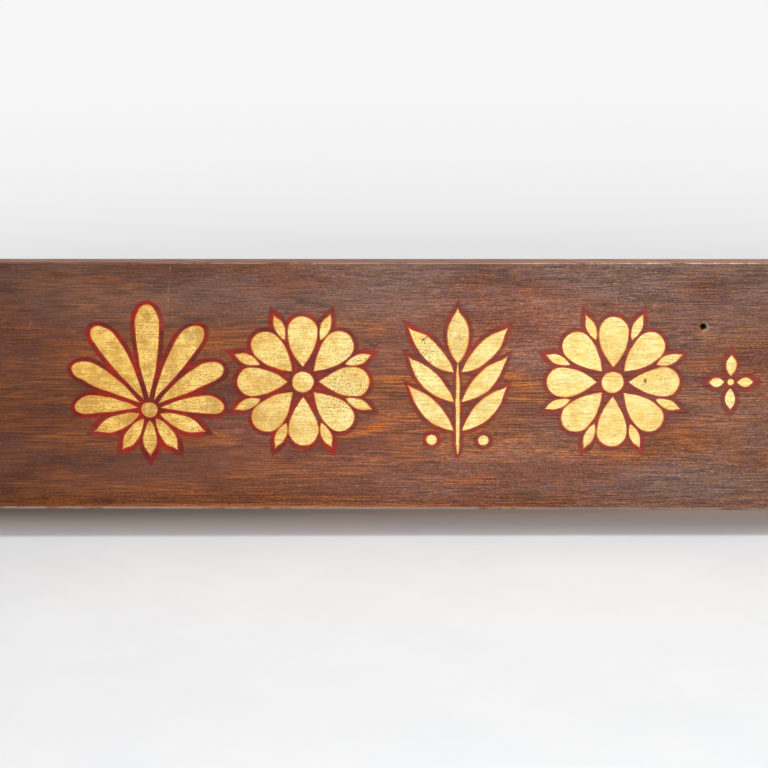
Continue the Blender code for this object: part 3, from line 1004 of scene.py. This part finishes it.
def floor_colour(tree, place, across, back):
    """Pale paint with a little dirt and painted shade in bands across the floor, and the sign's shadow
    painted on it: darker under its left part, warmer in tint all through, and darker again just under its
    lower edge.
    """
    drift = fade(tree, dapple(tree, place, 9.0, 4.0), 0.3, 0.7)
    colour = blend(tree, drift, (0.850, 0.928, 0.975), (0.876, 0.952, 0.995))
    dirt = [fade(tree, dapple(tree, place, 260.0, 2.0), 0.70, 0.78, high=0.25)]
    # Painted shade in bands: darker towards the camera, darker still far in front, a little darker before the
    # sign.
    dirt += [fade(tree, back, start, end, high=most) for start, end, most in PAINTED_SHADE_BANDS]
    for amount in dirt:
        colour = blend(tree, amount, colour, FLOOR_DIRT_AND_SHADE)
    # Painted shadow: the floor under and behind the sign's left part is painted darker.
    painted_shadow = times(
        tree, fade(tree, back, 0.018, 0.088), fade(tree, back, 0.36, 0.17),
        fade(tree, across, -0.45, 0.40, low=0.78, high=0.0), fade(tree, across, -0.60, -0.42),
    )
    colour = blend(tree, painted_shadow, colour, (0.060, 0.042, 0.034))
    # Painted warm tint over all the sign's shadow, as light bounced off the wood.
    warm = times(
        tree, fade(tree, back, 0.010, 0.045), fade(tree, back, 0.22, 0.12),
        fade(tree, across, -0.50, -0.40), fade(tree, across, 0.80, 0.45),
    )
    colour = blend(tree, warm, colour, (1.0, 0.950, 0.865), "MULTIPLY")
    # Painted contact shadow: a little darker again just under the sign's lower edge.
    painted_contact_shadow = times(
        tree, fade(tree, back, 0.048, 0.074, high=0.16), fade(tree, back, 0.36, 0.17),
        fade(tree, across, -0.36, -0.10), fade(tree, across, 0.32, 0.20),
    )
    return blend(tree, painted_contact_shadow, colour, (0.060, 0.036, 0.022))


def floor_paint():
    material, tree, shader, place = new_finish("floor_paint")
    axes = add(tree, "SeparateXYZ", Vector=place)
    across, back = axes.outputs["X"], axes.outputs["Y"]
    colour = floor_colour(tree, place, across, back)
    feed(tree, shader, Base_Color=colour, Roughness=0.7, Specular_IOR_Level=0.2)
    reach = add(tree, "VectorMath", {"operation": "LENGTH"}, Vector=place).outputs["Value"]
    farther = fade(tree, reach, FLOOR_NEAR, FLOOR_FAR)
    distant = calculate(tree, "MAXIMUM", farther, fade(tree, back, 0.30, 0.95))
    # Painted shade: the glow dims towards the sign, from BACKGROUND far off to BACKGROUND_NEAR beside it.
    nearness = calculate(tree, "POWER", calculate(tree, "DIVIDE", GLOW_START, reach), GLOW_POWER)
    nearness = calculate(tree, "MINIMUM", nearness, 1.0)
    paleness = calculate(tree, "SUBTRACT", BACKGROUND, times(tree, nearness, BACKGROUND - BACKGROUND_NEAR))
    glow = add(tree, "Emission", Color=(1, 1, 1), Strength=paleness)
    mixed = add(tree, "MixShader", Fac=times(tree, distant, add(tree, "LightPath").outputs["Is Camera Ray"]))
    connect(tree, mixed.inputs[1], shader.outputs[0])
    connect(tree, mixed.inputs[2], glow.outputs[0])
    connect(tree, tree.nodes["Material Output"].inputs["Surface"], mixed.outputs[0])
    return material


deselect()
floor_place = (FLOOR_MIDDLE, 0, cad_low.z - FLOOR_DROP)
bpy.ops.mesh.primitive_plane_add(size=2 * FLOOR_REACH, location=floor_place, rotation=(0, FLOOR_TILT, 0))
floor = bpy.context.active_object
floor.name = "floor"
floor.data.materials.append(floor_paint())


# A soft lamp above and in front throws the shadow under the sign. A larger and lower one softens that
# shadow's front, and a pale room does the rest.
LAMP_AIM = Vector((-0.45, -0.04, 0.0))
KEY_PLACE = Vector((-0.42, -1.75, 2.45))
KEY_SIZE = 0.8
KEY_POWER = 48.5
FILL_PLACE = Vector((-0.35, -2.60, 1.45))
FILL_SIZE = 1.8
FILL_POWER = 33.5
ROOM_FILL = 0.36
ROOM_TINT = (1.0, 0.79, 0.72)
WHITE = (1.0, 1.0, 1.0)


def aim(obj, target):
    obj.rotation_euler = (target - obj.location).to_track_quat("-Z", "Y").to_euler()


def add_lamp(name, place, size, power):
    bpy.ops.object.light_add(type="AREA", location=place)
    lamp = bpy.context.active_object
    lamp.name = name
    lamp.data.shape = "DISK"
    lamp.data.size = size
    lamp.data.energy = power
    aim(lamp, LAMP_AIM)


add_lamp("key", KEY_PLACE, KEY_SIZE, KEY_POWER)
add_lamp("low_fill", FILL_PLACE, FILL_SIZE, FILL_POWER)

world = bpy.data.worlds.new("room")
bpy.context.scene.world = world
world.use_nodes = True
room = world.node_tree
rays = add(room, "LightPath").outputs
mirrored = calculate(room, "MAXIMUM", rays["Is Glossy Ray"], rays["Is Transmission Ray"])
seen = calculate(room, "MAXIMUM", rays["Is Camera Ray"], mirrored)
strength = calculate(room, "ADD", ROOM_FILL, times(room, seen, BACKGROUND - ROOM_FILL))
feed(room, room.nodes["Background"], Color=blend(room, seen, ROOM_TINT, WHITE), Strength=strength)


# The photograph is taken from a little above and to the right, with a long lens. It takes in the sign's
# left part.
VIEW_CENTRE = Vector((-0.6964, FACE_Y, 0.0038))
VIEW_ELEVATION = math.radians(13.0)
VIEW_TURN = math.radians(0.80)
VIEW_ROLL = math.radians(-0.12)
VIEW_DISTANCE = 2.2
VIEW_WIDTH = 0.769

bpy.ops.object.camera_add()
camera = bpy.context.active_object
camera.name = "camera"
camera.location = VIEW_CENTRE + VIEW_DISTANCE * Vector((
    math.sin(VIEW_TURN) * math.cos(VIEW_ELEVATION),
    -math.cos(VIEW_TURN) * math.cos(VIEW_ELEVATION),
    math.sin(VIEW_ELEVATION),
))
aim(camera, VIEW_CENTRE)
camera.rotation_euler.rotate_axis("Z", VIEW_ROLL)
camera.data.lens = camera.data.sensor_width * VIEW_DISTANCE / VIEW_WIDTH
bpy.context.scene.camera = camera
bpy.context.scene.view_settings.view_transform = "Standard"
